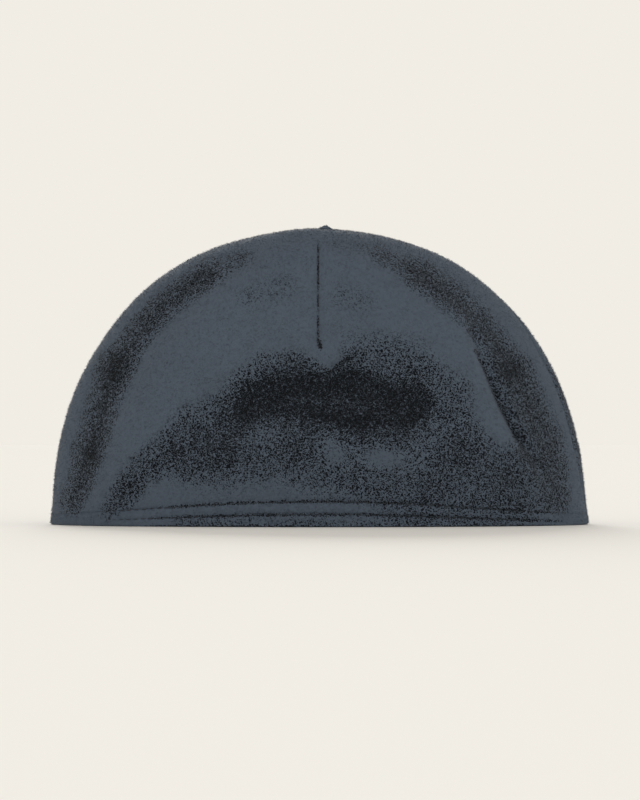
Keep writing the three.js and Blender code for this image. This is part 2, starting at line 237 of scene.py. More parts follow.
# Where the painted shade is taken out again, leaving painted light on lit parts of the folds, and the pile
# lies flatter
brushedNapAndLight = {
    "front": [
        (0.6, 6, [(0.03, 0.28), (0.06, 0.23)]),
        (0.6, 4.5, [(0.2, 0.228), (0.25, 0.226)]),
        (0.85, 5, [(0.028, 0.585), (0.036, 0.555)]),
        (0.35, 6, [(-0.2, 0.31), (-0.1, 0.315)]),
        (0.5, 4, [(0.56, 0.58), (0.61, 0.42), (0.67, 0.3)]),
        (0.6, 5, [(-0.74, 0.22), (-0.77, 0.13), (-0.84, 0.05)]),
    ],
    "back": [
        (0.6, 6, [(-0.03, 0.27), (0.02, 0.25)]),
        (0.5, 7, [(-0.3, 0.2), (-0.2, 0.22)]),
    ],
}

# Lines of painted shade in the sharp creases
creaseShade = {
    "front": [
        (0.6, 1.5, [(0.57, 0.575), (0.6, 0.53), (0.65, 0.445), (0.695, 0.365), (0.73, 0.3)]),
        (0.4, 1.6, [(0.73, 0.3), (0.78, 0.21)]),
        (1.0, 0.75, [(-0.004, 0.625), (0.001, 0.608), (0.0055, 0.592)]),
        (0.75, 1.1, [(0.035, 0.515), (0.07, 0.535), (0.11, 0.56)]),
    ],
    "back": [
        (0.7, 1.3, [(-0.54, 0.62), (-0.62, 0.5), (-0.68, 0.38), (-0.74, 0.28)]),
        (1.0, 0.75, [(-0.006, 0.62), (-0.002, 0.6)]),
    ],
}
napAndShadeEdge = {"from": 0.05, "gain": 1.3, "most": 0.88}  # below the first there is no painted shade and the pile lies quite flat


def bareCrown(turn, level):  # points on the crown before its folds, and their outward directions
    power = hat["power"]
    turn, level = np.broadcast_arrays(turn, level)
    spread = np.clip(1 - np.maximum(level, 0) ** power, 0, None) ** (1 / power)
    angle = np.radians(turn)
    x = halfWidth * spread * np.sin(angle)
    y = -halfDepth * spread * np.cos(angle)
    across = (x / halfWidth) ** 2 + (y / halfDepth) ** 2
    pull = np.maximum(across, 1e-9) ** (power / 2 - 1)
    rise = np.maximum(level, 0) ** (power - 1) / hat["crownHeight"]
    out = np.stack([pull * x / halfWidth**2, pull * y / halfDepth**2, rise], axis=-1)
    return np.stack([x, y, hat["crownHeight"] * level], axis=-1), unit(out)


def seamLean(level, side):
    most = np.where(side > 0, seam["rightLean"], seam["leftLean"])
    return most * smoothStep(level, *seam["leanGrows"]) * (1 - smoothStep(level, *seam["leanFades"]))


def seamTurn(level, side):  # the turn from the front at which the side seam runs, in degrees
    power = hat["power"]
    spread = np.clip(1 - np.maximum(level, 0) ** power, 1e-9, None) ** (1 / power)
    most = seam["mostLean"]
    lean = np.clip(seamLean(level, side) / (halfDepth * spread), -most, most)
    return 90 + np.degrees(np.arcsin(lean))


def panelTurn(panel, spread, level):  # spread runs from -1 at the left seam to 1 at the right one
    side = np.where(spread < 0, -1, 1)
    edge = seamTurn(level, side)
    if panel == "front":
        return side * np.abs(spread) * edge
    return side * (180 - np.abs(spread) * (180 - edge))


def footTurn(panel, spreads):  # where the panel's columns meet the rim
    return panelTurn(panel, spreads, np.zeros_like(spreads))


def crownAt(panel, spreads, level):
    return bareCrown(panelTurn(panel, np.broadcast_to(spreads, level.shape), level), level)


def upAndOver(climb):  # a line up the left side and down the right one: its levels and turns
    level = np.concatenate([climb, climb[-2::-1]])
    side = np.concatenate([-np.ones(len(climb)), np.ones(len(climb) - 1)])
    return level, side * seamTurn(level, side)


def curveThrough(start, middle, end, steps=14):
    share = np.linspace(0, 1, steps)[:, None]
    start, middle, end = (np.array(place, float) for place in (start, middle, end))
    pull = 2 * middle - (start + end) / 2
    return (1 - share) ** 2 * start + 2 * share * (1 - share) * pull + share**2 * end


def distanceToPath(points, path):  # in the front view
    nearest = np.full(points.shape[:-1], np.inf)
    flat = points[..., [0, 2]]
    for start, end in zip(path[:-1], path[1:]):
        along = end - start
        share = np.clip(((flat - start) @ along) / (along @ along), 0, 1)
        away = flat - start - share[..., None] * along
        nearest = np.minimum(nearest, np.hypot(away[..., 0], away[..., 1]))
    return nearest


def onHat(places):
    return np.array(places, float) * (halfWidth, hat["crownHeight"])


def distanceToSeam(points):
    return points[..., 1] - seamLean(points[..., 2] / hat["crownHeight"], points[..., 0])


def foldRise(panel, points):
    rise = np.zeros(points.shape[:-1])
    for onPanel, start, middle, end, reach, height in folds:
        if onPanel == panel:
            away = distanceToPath(points, curveThrough(*onHat((start, middle, end))))
            rise += height * hat["crownDepth"] * bell(away, reach * hat["crownWidth"])
    return rise * smoothStep(np.abs(distanceToSeam(points)) / halfDepth, 0, foldFade)


# the mask of raised nap and of painted shade, from the bands above
def napAndShadeMask(panel, points):
    smooth = np.ones(points.shape[:-1])
    for strength, reach, places in raisedNapAndShade[panel]:
        away = distanceToPath(points, onHat(places))
        smooth *= 1 - strength * bell(away, reach)
    mask = 1 - smooth
    for strength, reach, places in brushedNapAndLight[panel]:
        away = distanceToPath(points, onHat(places))
        mask *= 1 - strength * bell(away, reach)
    return np.clip((mask - napAndShadeEdge["from"]) * napAndShadeEdge["gain"], 0, napAndShadeEdge["most"])


def hemArch(turn):  # both rows of stitches sink towards the sides
    return np.abs(np.cos(np.radians(turn))) ** hem["archPower"]


def hemHeight(turn):
    return hem["showsSide"] + (hem["showsFront"] - hem["showsSide"]) * hemArch(turn)


def stitchHeight(turn):
    return hem["stitchSide"] + (hem["stitchFront"] - hem["stitchSide"]) * hemArch(turn)


def hemFlare(height):
    return hem["flare"] * np.exp(-((np.maximum(height, 0) / hem["flareReach"]) ** hem["flarePower"]))


def rowChannel(away, turn, reach):  # less deep where the cloth is stretched round the sides
    return hem["channelDepth"] * hemArch(turn) * bell(away, reach)


def hemChannel(height, turn):
    return rowChannel(height - hemHeight(turn), turn, hem["channelReach"])


def knotRise(points):
    away = np.hypot(points[..., 0] - knot["offset"], points[..., 1] + knot["forward"])
    return knot["rise"] * bell(away, knot["reach"])


def dartHold(points):
    starts = (dart["endHeight"] + step for step in dart["deepens"])
    return between(points[..., 2], *starts, *dart["fadesAt"])


def outerRise(panel, points):
    toDart = points[..., 0] - dart["offset"]
    dartRoll = dart["rollDepth"] * bell(toDart, dart["rollReach"])
    dartSlit = dart["slitDepth"] * bell(toDart, dart["slitReach"])
    return (
        foldRise(panel, points)
        + knotRise(points)
        - seam["rollDepth"] * bell(distanceToSeam(points), seam["rollReach"])
        - (dartRoll + dartSlit) * dartHold(points)
    )


# where the painted shade behind the right side seam shows
def seamShadeHold(panel, points):
    level = points[..., 2] / hat["crownHeight"]
    return (points[..., 0] > 0) * (panel == "back") * between(level, *seam["seamShadeHeights"])


shadeAlongLines = {  # how dark the painted shade is along each, and the reach in millimetres
    "upperRow": (0.7, 0.55),
    "lowerRow": (0.74, 0.5),
    # painted contact shadow along the foot of the rim
    "rimContactShadow": (0.7, 0.5),
    "dartLine": (0.66, 0.38),
    "dartUneven": 0.606,  # a share more or less, in lumps of the next size
    "dartLump": 1.9,
    "rowsShow": (-0.7, -0.48, 0.8, 0.93),  # shares of the half width where the rows appear and fade
    "rimShows": (-0.8, -0.5, 0.8, 0.92),
}


def paintedLineShade(panel, points, foot):  # painted shade along the stitch rows, the dart, behind the seam and in sharp creases, and a painted contact shadow at the rim
    across = points[..., 0] / halfWidth * (1 if panel == "front" else -1)
    height = points[..., 2]
    rows = between(across, *shadeAlongLines["rowsShow"])
    rim = between(across, *shadeAlongLines["rimShows"])
    uneven = shadeAlongLines["dartUneven"] * lumps(points, shadeAlongLines["dartLump"])
    seamShade = (seam["seamShade"], seam["seamShadeReach"])
    napAndShade = np.zeros(points.shape[:-1])
    for (strength, reach), share, away in (
        (shadeAlongLines["upperRow"], rows, height - hemHeight(foot)),
        (shadeAlongLines["lowerRow"], rows, height - stitchHeight(foot)),
        (shadeAlongLines["rimContactShadow"], rim, height),
        (shadeAlongLines["dartLine"], (1 + uneven) * dartHold(points), points[..., 0] - dart["offset"]),
        (seamShade, seamShadeHold(panel, points), distanceToSeam(points) - seam["seamShadeAt"]),
    ):
        napAndShade = 1 - (1 - napAndShade) * (1 - strength * share * bell(away, reach))
    for strength, reach, places in creaseShade[panel]:
        away = distanceToPath(points, onHat(places))
        napAndShade = 1 - (1 - napAndShade) * (1 - strength * bell(away, reach))
    return napAndShade


pile = {
    "tuftSize": 2.6,  # lumps where the nap stands up
    "tuftRise": 0.34,
    "grainSize": 1.3,
    "grainRise": 0.2,
    "grainShift": 31,  # another part of the lattice
    "brushedRise": 0.14,  # the same lumps where it lies flat, as a share
    "swaySize": 27,  # slow unevenness of the cloth
    "swayRise": 0.55,
    "swayShift": 57,
    "lattice": 48,  # the lumps repeat after this many
    "seed": 11,
}
# Smooth noise from a seeded lattice, the same on every run
lattice = np.random.default_rng(pile["seed"]).random((pile["lattice"],) * 3) * 2 - 1


def lumps(points, size):
    place = points / size
    low = np.floor(place).astype(int)
    share = place - low
    share = share * share * (3 - 2 * share)
    total = 0
    for i in (0, 1):
        for j in (0, 1):
            for k in (0, 1):
                weight = (
                    np.where(i, share[..., 0], 1 - share[..., 0])
                    * np.where(j, share[..., 1], 1 - share[..., 1])
                    * np.where(k, share[..., 2], 1 - share[..., 2])
                )
                corner = np.mod(low + (i, j, k), pile["lattice"])
                total = total + weight * lattice[corner[..., 0], corner[..., 1], corner[..., 2]]
    return total


def pileRise(points, mask):
    strength = pile["brushedRise"] + (1 - pile["brushedRise"]) * mask
    tufts = pile["tuftRise"] * lumps(points, pile["tuftSize"])
    grain = pile["grainRise"] * lumps(points + pile["grainShift"], pile["grainSize"])
    sway = pile["swayRise"] * lumps(points + pile["swayShift"], pile["swaySize"])
    return (tufts + grain) * strength + sway


# Meshes

def makeMesh(name, points, faces, materials, slots=None, mask=None, smooth=True):
    mesh = bpy.data.meshes.new(name)
    mesh.from_pydata((np.asarray(points, float) * mm).tolist(), [], faces)
    for material in materials:
        mesh.materials.append(material)
    if slots is not None:
        mesh.polygons.foreach_set("material_index", np.asarray(slots, np.int32))
    if mask is not None:
        layer = mesh.attributes.new("napAndShade", "FLOAT", "POINT")
        layer.data.foreach_set("value", np.asarray(mask, np.float32))
    mesh.polygons.foreach_set("use_smooth", np.full(len(mesh.polygons), smooth))
    mesh.update()
    made = bpy.data.objects.new(name, mesh)
    bpy.context.scene.collection.objects.link(made)
    return made


def weldPoints(made, within):  # the top row of each face of the cloth meets in one point
    work = bmesh.new()
    work.from_mesh(made.data)
    bmesh.ops.remove_doubles(work, verts=work.verts, dist=within * mm)
    work.to_mesh(made.data)
    work.free()


def gridFaces(columns, rows, start=0, turned=False):
    index = start + np.arange(rows * columns).reshape(rows, columns)
    corners = [index[:-1, :-1], index[:-1, 1:], index[1:, 1:], index[1:, :-1]]
    if turned:
        corners.reverse()
    return np.stack(corners, axis=-1).reshape(-1, 4).tolist()


def tubeFaces(rings, sides):  # round a tube and over both its ends
    index = np.arange(rings * sides).reshape(rings, sides)
    after = np.roll(index, -1, axis=1)
    around = np.stack([index[:-1], after[:-1], after[1:], index[1:]], axis=-1).reshape(-1, 4)
    return around.tolist() + [index[0].tolist()[::-1], index[-1].tolist()]


def crowded(count, pull):  # from -1 to 1, closer together at the middle and both ends
    even = np.linspace(-1, 1, count)
    away = np.abs(even)
    return np.sign(even) * (away - pull * np.sin(2 * np.pi * away) / (2 * np.pi))


# Materials

colours = {
    "fleece": (0.086, 0.1085, 0.141, 1),
    # painted light: the hem's fleece a little lighter, against the shade low on the hat
    "hemFleece": (0.088, 0.111, 0.1443, 1),
    "shade": (0.0042, 0.0058, 0.0081, 1),  # painted shade, dark between the curls as far as the mask reaches
    "thread": (0.022, 0.029, 0.037, 1),
    "floor": (0.889, 0.864, 0.813, 1),
}


def setInputs(node, values):
    for label, value in values.items():
        node.inputs[label].default_value = value


def addNode(tree, kind, place, **settings):
    node = tree.nodes.new(kind)
    node.location = place
    for name, value in settings.items():
        setattr(node, name, value)
    return node


def makeGroup(name, inputs, outputs):
    tree = bpy.data.node_groups.new(name, "ShaderNodeTree")
    for label, kind, value in inputs:
        tree.interface.new_socket(label, in_out="INPUT", socket_type=kind).default_value = value
    for label, kind in outputs:
        tree.interface.new_socket(label, in_out="OUTPUT", socket_type=kind)
    return tree, addNode(tree, "NodeGroupInput", (-1400, 0)), addNode(tree, "NodeGroupOutput", (900, 0))


def mathNode(tree, operation, place, first, second=None, third=None, clamp=False):
    node = addNode(tree, "ShaderNodeMath", place, operation=operation, use_clamp=clamp)
    for socket, value in zip(node.inputs, (first, second, third)):
        if isinstance(value, (int, float)):
            socket.default_value = value
        elif value is not None:
            tree.links.new(value, socket)
    return node.outputs[0]


curlForm = {
    "warpScale": 0.8,  # the noise that bends the curls
    "warp": 0.9,
    "detail": 1.5,
    "falloff": -9.0,  # how steeply a curl drops beside its middle
    "curlShare": 0.72,
    "tuftScale": 0.75,
    "tuftDetail": 2,
    "tuftShare": 0.56,
    "lowest": 0.26,
}


def curledPileAndShadeGroup():  # worm-like curls of pile, with painted shade between them as far as the mask of raised nap and painted shade reaches
    tree, given, result = makeGroup(
        "curledPileAndShade",
        [
            ("Nap And Shade", "NodeSocketFloat", 0.5),
            ("Curl Scale", "NodeSocketFloat", 900.0),
            ("Pile Colour", "NodeSocketColor", colours["fleece"]),
            ("Shade Colour", "NodeSocketColor", colours["shade"]),
            ("Softness", "NodeSocketFloat", 0.3),
            ("Tip Highlight", "NodeSocketFloat", 0.0),
        ],
        [("Colour", "NodeSocketColor"), ("Height", "NodeSocketFloat")],
    )
    link = tree.links.new
    where = addNode(tree, "ShaderNodeTexCoord", (-1400, -300))
    sized = addNode(tree, "ShaderNodeVectorMath", (-1200, -200), operation="SCALE")
    link(where.outputs["Object"], sized.inputs[0])
    link(given.outputs["Curl Scale"], sized.inputs["Scale"])
    warp = addNode(tree, "ShaderNodeTexNoise", (-1000, -400))
    setInputs(warp, {"Scale": curlForm["warpScale"], "Detail": 1})
    link(sized.outputs[0], warp.inputs["Vector"])
    bent = addNode(tree, "ShaderNodeVectorMath", (-800, -250), operation="MULTIPLY_ADD")
    link(warp.outputs["Color"], bent.inputs[0])
    bent.inputs[1].default_value = (curlForm["warp"],) * 3
    link(sized.outputs[0], bent.inputs[2])
    curls = addNode(tree, "ShaderNodeTexNoise", (-600, -150))
    setInputs(curls, {"Scale": 1, "Detail": curlForm["detail"]})
    link(bent.outputs[0], curls.inputs["Vector"])
    tufts = addNode(tree, "ShaderNodeTexNoise", (-600, -450))
    setInputs(tufts, {"Scale": curlForm["tuftScale"], "Detail": curlForm["tuftDetail"]})
    link(bent.outputs[0], tufts.inputs["Vector"])
    off = mathNode(tree, "SUBTRACT", (-400, -150), curls.outputs["Fac"], 0.5)
    away = mathNode(tree, "ABSOLUTE", (-250, -150), off)
    curl = mathNode(tree, "MULTIPLY_ADD", (-100, -150), away, curlForm["falloff"], 1.0, clamp=True)
    curlPart = mathNode(tree, "MULTIPLY", (50, -150), curl, curlForm["curlShare"])
    tuftPart = mathNode(tree, "MULTIPLY", (-150, -450), tufts.outputs["Fac"], curlForm["tuftShare"])
    summed = mathNode(tree, "ADD", (200, -250), curlPart, tuftPart)
    spread = addNode(tree, "ShaderNodeMapRange", (350, -250))
    setInputs(spread, {"From Min": curlForm["lowest"], "From Max": 1.0})
    link(summed, spread.inputs["Value"])
    height = spread.outputs["Result"]
    above = mathNode(tree, "SUBTRACT", (350, 0), given.outputs["Nap And Shade"], height)
    level = mathNode(tree, "DIVIDE", (500, 0), above, given.outputs["Softness"])
    shade = addNode(tree, "ShaderNodeMapRange", (500, -200), interpolation_type="SMOOTHSTEP")
    setInputs(shade, {"From Min": -0.5, "From Max": 0.5})
    link(level, shade.inputs["Value"])
    mix = addNode(tree, "ShaderNodeMix", (700, 100), data_type="RGBA")
    link(shade.outputs["Result"], mix.inputs["Factor"])
    # painted highlight on the tips of the curls, where the painted shade is
    tips = mathNode(tree, "MULTIPLY", (300, 300), height, given.outputs["Nap And Shade"])
    tipShare = mathNode(tree, "MULTIPLY", (450, 300), tips, given.outputs["Tip Highlight"])
    tipFactor = mathNode(tree, "ADD", (600, 300), tipShare, 1.0)
    tipped = addNode(tree, "ShaderNodeVectorMath", (600, 500), operation="SCALE")
    link(given.outputs["Pile Colour"], tipped.inputs[0])
    link(tipFactor, tipped.inputs["Scale"])
    link(tipped.outputs[0], mix.inputs["A"])
    link(given.outputs["Shade Colour"], mix.inputs["B"])
    link(mix.outputs["Result"], result.inputs["Colour"])
    link(height, result.inputs["Height"])
    return tree


def toneDriftGroup():  # slow change of tone over the cloth, from dyeing and handling
    tree, given, result = makeGroup(
        "toneDrift",
        [
            ("Colour", "NodeSocketColor", colours["fleece"]),
            ("Amount", "NodeSocketFloat", 0.1),
            ("Scale", "NodeSocketFloat", 40.0),
        ],
        [("Colour", "NodeSocketColor")],
    )
    link = tree.links.new
    where = addNode(tree, "ShaderNodeTexCoord", (-1100, -200))
    drift = addNode(tree, "ShaderNodeTexNoise", (-900, -200))
    drift.inputs["Detail"].default_value = 3
    link(where.outputs["Object"], drift.inputs["Vector"])
    link(given.outputs["Scale"], drift.inputs["Scale"])
    around = mathNode(tree, "SUBTRACT", (-700, -200), drift.outputs["Fac"], 0.5)
    amount = mathNode(tree, "MULTIPLY", (-500, -200), around, given.outputs["Amount"])
    factor = mathNode(tree, "ADD", (-300, -200), amount, 1.0)
    toned = addNode(tree, "ShaderNodeVectorMath", (-100, 0), operation="SCALE")
    link(given.outputs["Colour"], toned.inputs[0])
    link(factor, toned.inputs["Scale"])
    link(toned.outputs[0], result.inputs["Colour"])
    return tree


curledPileAndShade = curledPileAndShadeGroup()
toneDrift = toneDriftGroup()


def clothMaterial(name, look):
    material = bpy.data.materials.new(name)
    material.use_nodes = True
    tree = material.node_tree
    link = tree.links.new
    shader = tree.nodes["Principled BSDF"]
    shader.location = (500, 0)
    tree.nodes["Material Output"].location = (800, 0)
    # the attribute holds the raised nap and the painted shade
    napAndShade = addNode(tree, "ShaderNodeAttribute", (-700, 0), attribute_name="napAndShade")
    span = addNode(tree, "ShaderNodeMapRange", (-500, 0))
    setInputs(span, {"To Min": look["leastNapAndShade"], "To Max": look["raisedNapAndShade"]})
    link(napAndShade.outputs["Fac"], span.inputs["Value"])
    curls = addNode(tree, "ShaderNodeGroup", (-250, 0), node_tree=curledPileAndShade)
    setInputs(curls, {
        "Curl Scale": look["curlScale"],
        "Pile Colour": look["colour"],
        "Shade Colour": look["shade"],
        "Softness": look["softness"],
        "Tip Highlight": look["tipHighlight"],
    })
    link(span.outputs["Result"], curls.inputs["Nap And Shade"])
    drift = addNode(tree, "ShaderNodeGroup", (50, 100), node_tree=toneDrift)
    setInputs(drift, {"Amount": look["drift"], "Scale": look["driftScale"]})
    link(curls.outputs["Colour"], drift.inputs["Colour"])
    link(drift.outputs["Colour"], shader.inputs["Base Color"])
    flat = look["flatBump"]
    raised = mathNode(tree, "MULTIPLY_ADD", (-250, -300), napAndShade.outputs["Fac"], 1 - flat, flat)
    relief = mathNode(tree, "MULTIPLY", (0, -250), curls.outputs["Height"], raised)
    bump = addNode(tree, "ShaderNodeBump", (250, -250))
    setInputs(bump, {"Strength": look["bumpStrength"], "Distance": look["bumpDepth"] * mm})
    link(relief, bump.inputs["Height"])
    link(bump.outputs["Normal"], shader.inputs["Normal"])
    setInputs(shader, {
        "Roughness": look["roughness"],
        "Specular IOR Level": look["specular"],
        "Sheen Weight": look["sheen"],
        "Sheen Roughness": look["sheenRoughness"],
    })
    return material


fleeceLook = {
    "colour": colours["fleece"],
    "shade": colours["shade"],
    "curlScale": 1080,  # curls per metre
    "softness": 0.3,
    "tipHighlight": 0.3,  # painted highlight: how much lighter the tips of the curls are, where the painted shade is
    # the shader's range for the mask of raised nap and painted shade, at none and at the full mask
    "leastNapAndShade": -0.16,
    "raisedNapAndShade": 1.04,
    "drift": 0.12,
    "driftScale": 38,
    "flatBump": 0.12,
    "bumpStrength": 0.7,
    "bumpDepth": 0.5,
    "roughness": 0.96,
    "specular": 0.12,
    "sheen": 0.06,
    "sheenRoughness": 0.5,
}
hemLook = dict(fleeceLook, colour=colours["hemFleece"], flatBump=0.2)
insideLook = dict(fleeceLook, raisedNapAndShade=0.35, flatBump=0.6, curlScale=700, sheen=0.03)
fleece = clothMaterial("fleece", fleeceLook)
hemFleece = clothMaterial("hemFleece", hemLook)
insideFleece = clothMaterial("insideFleece", insideLook)

threadLook = {
    "colour": colours["thread"],
    "twist": 2600,
    "uneven": 2,
    "bumpStrength": 0.5,
    "bumpDepth": 0.08,
    "roughness": 0.6,
    "drift": 0.3,
    "driftScale": 300,
}


def threadMaterial():
    material = bpy.data.materials.new("thread")
    material.use_nodes = True
    tree = material.node_tree
    link = tree.links.new
    shader = tree.nodes["Principled BSDF"]
    drift = addNode(tree, "ShaderNodeGroup", (-300, 100), node_tree=toneDrift)
    setInputs(drift, {
        "Colour": threadLook["colour"],
        "Amount": threadLook["drift"],
        "Scale": threadLook["driftScale"],
    })
    link(drift.outputs["Colour"], shader.inputs["Base Color"])
    where = addNode(tree, "ShaderNodeTexCoord", (-900, -250))
    strands = addNode(tree, "ShaderNodeTexWave", (-600, -250), bands_direction="DIAGONAL")
    setInputs(strands, {"Scale": threadLook["twist"], "Distortion": threadLook["uneven"]})
    link(where.outputs["Object"], strands.inputs["Vector"])
    bump = addNode(tree, "ShaderNodeBump", (-300, -250))
    setInputs(bump, {"Strength": threadLook["bumpStrength"], "Distance": threadLook["bumpDepth"] * mm})
    link(strands.outputs["Fac"], bump.inputs["Height"])
    link(bump.outputs["Normal"], shader.inputs["Normal"])
    shader.inputs["Roughness"].default_value = threadLook["roughness"]
    return material


thread = threadMaterial()
print("materials ready")


# Panels

panelCloth = {
    "columns": 421,
    "rows": 205,
    "crowding": 0.5,
    "insideStep": 6,  # one row inside for this many outside
    "insideRise": 0.5,
    "insideLump": 9,
    "insideNap": 0.5,
    "hemLap": 0.3,  # the panel starts this far below the top of the hem
    "weldWithin": 0.0005,
}


def panelPoints(panel, spreads, shares):  # bare points, directions and the turn at the hem
    foot = footTurn(panel, spreads)
    base = (hemHeight(foot) + hat["gap"] - panelCloth["hemLap"]) / hat["crownHeight"]
    start = np.arcsin(base ** (hat["power"] / 2))
    lift = start[None, :] + shares[:, None] * (np.pi / 2 - start[None, :])
    level = np.sin(lift) ** (2 / hat["power"])
    points, out = crownAt(panel, spreads, level)
    return points, out, np.broadcast_to(foot, level.shape)


def pulledApart(panel, points):  # each panel keeps its half of the seam's gap
    points[..., 1] += facing[panel] * hat["gap"] / 2
    return points


def outerFace(panel, spreads, shares):
    bare, out, foot = panelPoints(panel, spreads, shares)
    mask = napAndShadeMask(panel, bare)
    rise = outerRise(panel, bare) + hemFlare(bare[..., 2]) - hemChannel(bare[..., 2], foot)
    rise = rise + pileRise(bare, mask)
    mask = 1 - (1 - mask) * (1 - paintedLineShade(panel, bare, foot))
    return pulledApart(panel, bare + out * rise[..., None]), out, mask


def panelPiece(panel):
    columns, rows, step = panelCloth["columns"], panelCloth["rows"], panelCloth["insideStep"]
    spreads = crowded(columns, panelCloth["crowding"])
    shares = np.linspace(0, 1, rows)
    outer, out, mask = outerFace(panel, spreads, shares)
    bare, inward, _ = panelPoints(panel, spreads[::step], shares[::step])
    uneven = panelCloth["insideRise"] * lumps(bare, panelCloth["insideLump"])
    rise = foldRise(panel, bare) - hat["cloth"] + uneven
    inner = pulledApart(panel, bare + inward * rise[..., None])
    insideRows, insideColumns = inner.shape[:2]
    first = rows * columns
    faces = gridFaces(columns, rows, turned=panel == "back")
    outerCount = len(faces)
    faces += gridFaces(insideColumns, insideRows, start=first, turned=panel == "front")

    def edge(outerRun, innerRun, turned):  # closes the cloth between its two faces
        for i in range(len(innerRun) - 1):
            ring = list(outerRun[i * step : (i + 1) * step + 1]) + [innerRun[i + 1], innerRun[i]]
            faces.append(ring[::-1] if turned else ring)

    outerIndex = np.arange(first).reshape(rows, columns)
    innerIndex = first + np.arange(insideRows * insideColumns).reshape(insideRows, insideColumns)
    edge(outerIndex[0].tolist(), innerIndex[0].tolist(), panel == "front")
    edge(outerIndex[:, 0].tolist(), innerIndex[:, 0].tolist(), panel == "back")
    edge(outerIndex[:, -1].tolist(), innerIndex[:, -1].tolist(), panel == "front")
    points = np.concatenate([outer.reshape(-1, 3), inner.reshape(-1, 3)])
    napAndShade = np.concatenate([mask.ravel(), np.full(inner.size // 3, panelCloth["insideNap"])])
    slots = [0] * outerCount + [1] * (len(faces) - outerCount)
    made = makeMesh(f"{panel}_panel_cloth", points, faces, [fleece, insideFleece], slots, napAndShade)
    weldPoints(made, panelCloth["weldWithin"])
    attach(made, "root")
    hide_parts(f"{panel}_panel")


for panel in ("front", "back"):
    panelPiece(panel)
print("panels sewn")


# Turned-in edges along the crown seam and the darts, inside the hat

def ribbonPiece(name, corners, turned):  # a strip of cloth, from the lines that its corners follow
    rings = np.stack(corners, axis=1)
    faces = tubeFaces(*rings.shape[:2])
    if turned:
        faces = [face[::-1] for face in faces]
    points = rings.reshape(-1, 3)
    napAndShade = np.full(len(points), seam["allowanceNap"])
    made = makeMesh(name, points, faces, [insideFleece], mask=napAndShade)
    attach(made, "root")


def behind(panel, turn, level, depth):
    point, out = bareCrown(turn, level)
    return pulledApart(panel, point + out * (foldRise(panel, point) - depth)[..., None])


def seamAllowance(panel):
    lowest = (hem["turnUp"] + seam["startsAbove"]) / hat["crownHeight"]
    lift = np.linspace(np.arcsin(lowest ** (hat["power"] / 2)), np.pi / 2, seam["stations"])
    level, turn = upAndOver(np.sin(lift) ** (2 / hat["power"]))
    wave = seam["wave"] * np.sin(np.arange(len(level)) * seam["waveStep"])
    root, free = hat["cloth"] - hat["rooted"], hat["cloth"] + seam["allowance"]
    thick, rounded = seam["allowanceThickness"], seam["allowanceRound"]
    corners = []
    for depth, fromEdge in (
        (root, seam["allowanceInset"]),
        (root, thick),
        (free - rounded, thick - seam["allowanceThins"]),
        (free, thick / 2),
        (free - rounded, rounded),
    ):
        place = behind(panel, turn, level, depth)
        place[..., 1] += facing[panel] * (fromEdge + (wave if depth > hat["cloth"] else 0))
        corners.append(place)
    ribbonPiece(f"{panel}_seam_allowance", corners, panel == "back")


def dartTuck(panel):
    share = np.linspace(0, 1, dart["tuckStations"])
    top = hat["crownHeight"] - dart["tuckTop"]
    level = (top - share * (top - dart["endHeight"])) / hat["crownHeight"]
    turn = np.full_like(level, 0 if panel == "front" else 180)
    half = dart["tuckThickness"] / 2 * (1 - dart["tuckTaper"] * share)
    deep = dart["tuckDepth"] * (1 - share**2)
    corners = []
    for depth, across in dart["tuckCorners"]:  # shares of its depth and half its thickness; None is rooted
        reach = hat["cloth"] - (hat["rooted"] if depth is None else dart["tuckSet"] - deep * depth)
        place = behind(panel, turn, level, reach)
        place[..., 0] += dart["offset"] + across * half
        corners.append(place)
    ribbonPiece(f"{panel}_dart_tuck", corners, panel == "front")


for panel in ("front", "back"):
    seamAllowance(panel)
    dartTuck(panel)
print("allowances turned in")


# Hem

hemCloth = {
    "columns": 421,
    "crowding": 0.4,
    "outerRows": 36,
    "rowCrowding": 1.25,  # rows closer together at the rim
    "innerRows": 9,
    "plyGap": 0.3,  # between the panel and the turned-up ply
    "plyRise": 0.25,
    "plyLump": 3.5,
    "plyNap": 0.5,
    "cutRise": 0.5,  # the turned-up edge isn't cut quite straight
    "cutShift": 91,
    "cutLump": 12,
    "cutRound": 0.45,
    "insideRim": ((1.82, 0.5), (1.6, 0.0)),  # plies and heights of the rim's rounding inside
    "insideFrom": 1.6,  # the turned-up ply is straight from here up
}


def hemFace(panel, spreads, heights, lift):  # points on the hem's outer face, raised by lift
    foot = footTurn(panel, spreads)
    bare, out = crownAt(panel, spreads, heights / hat["crownHeight"])
    row = rowChannel(heights - stitchHeight(foot), foot, hem["lowerReach"] * hem["channelReach"])
    edge = np.clip(1 - heights / hem["edgeRound"], 0, 1)
    rounding = hem["edgeDepth"] * (1 - np.sqrt(1 - np.minimum(edge, 0.999) ** 2))
    mask = hem["napAndShade"] * napAndShadeMask(panel, bare)
    mask = 1 - (1 - mask) * (1 - paintedLineShade(panel, bare, foot))
    rise = outerRise(panel, bare) + hemFlare(heights) - hemChannel(heights, foot) - row - rounding
    rise = rise + pileRise(bare, mask) * np.clip(heights / hem["edgeSmooth"], 0, 1)
    return pulledApart(panel, bare + out * (rise + lift)[..., None]), out, mask


